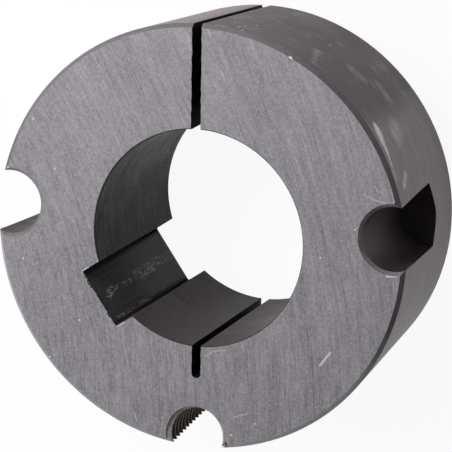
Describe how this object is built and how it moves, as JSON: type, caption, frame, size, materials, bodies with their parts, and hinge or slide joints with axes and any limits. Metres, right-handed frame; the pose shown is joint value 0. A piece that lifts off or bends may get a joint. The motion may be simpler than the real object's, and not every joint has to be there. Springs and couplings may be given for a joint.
{
  "type": "taper bush",
  "caption": "Slit cast iron taper bush with a keyed bore and half holes for setting and jacking screws, which clamps a hub to a shaft.",
  "frame": {"origin": "on the bore's axis, in the plane of the small end", "axes": "+Z along the bore from the small end to the large end, +Y from the axis through the middle of the keyway"},
  "size_m": [0.1078, 0.1078, 0.0508],
  "materials": {
    "phosphated_iron": "ground and phosphated, dark grey"
  },
  "bodies": {
    "root": {"bush": "phosphated_iron"}
  },
  "joints": []
}
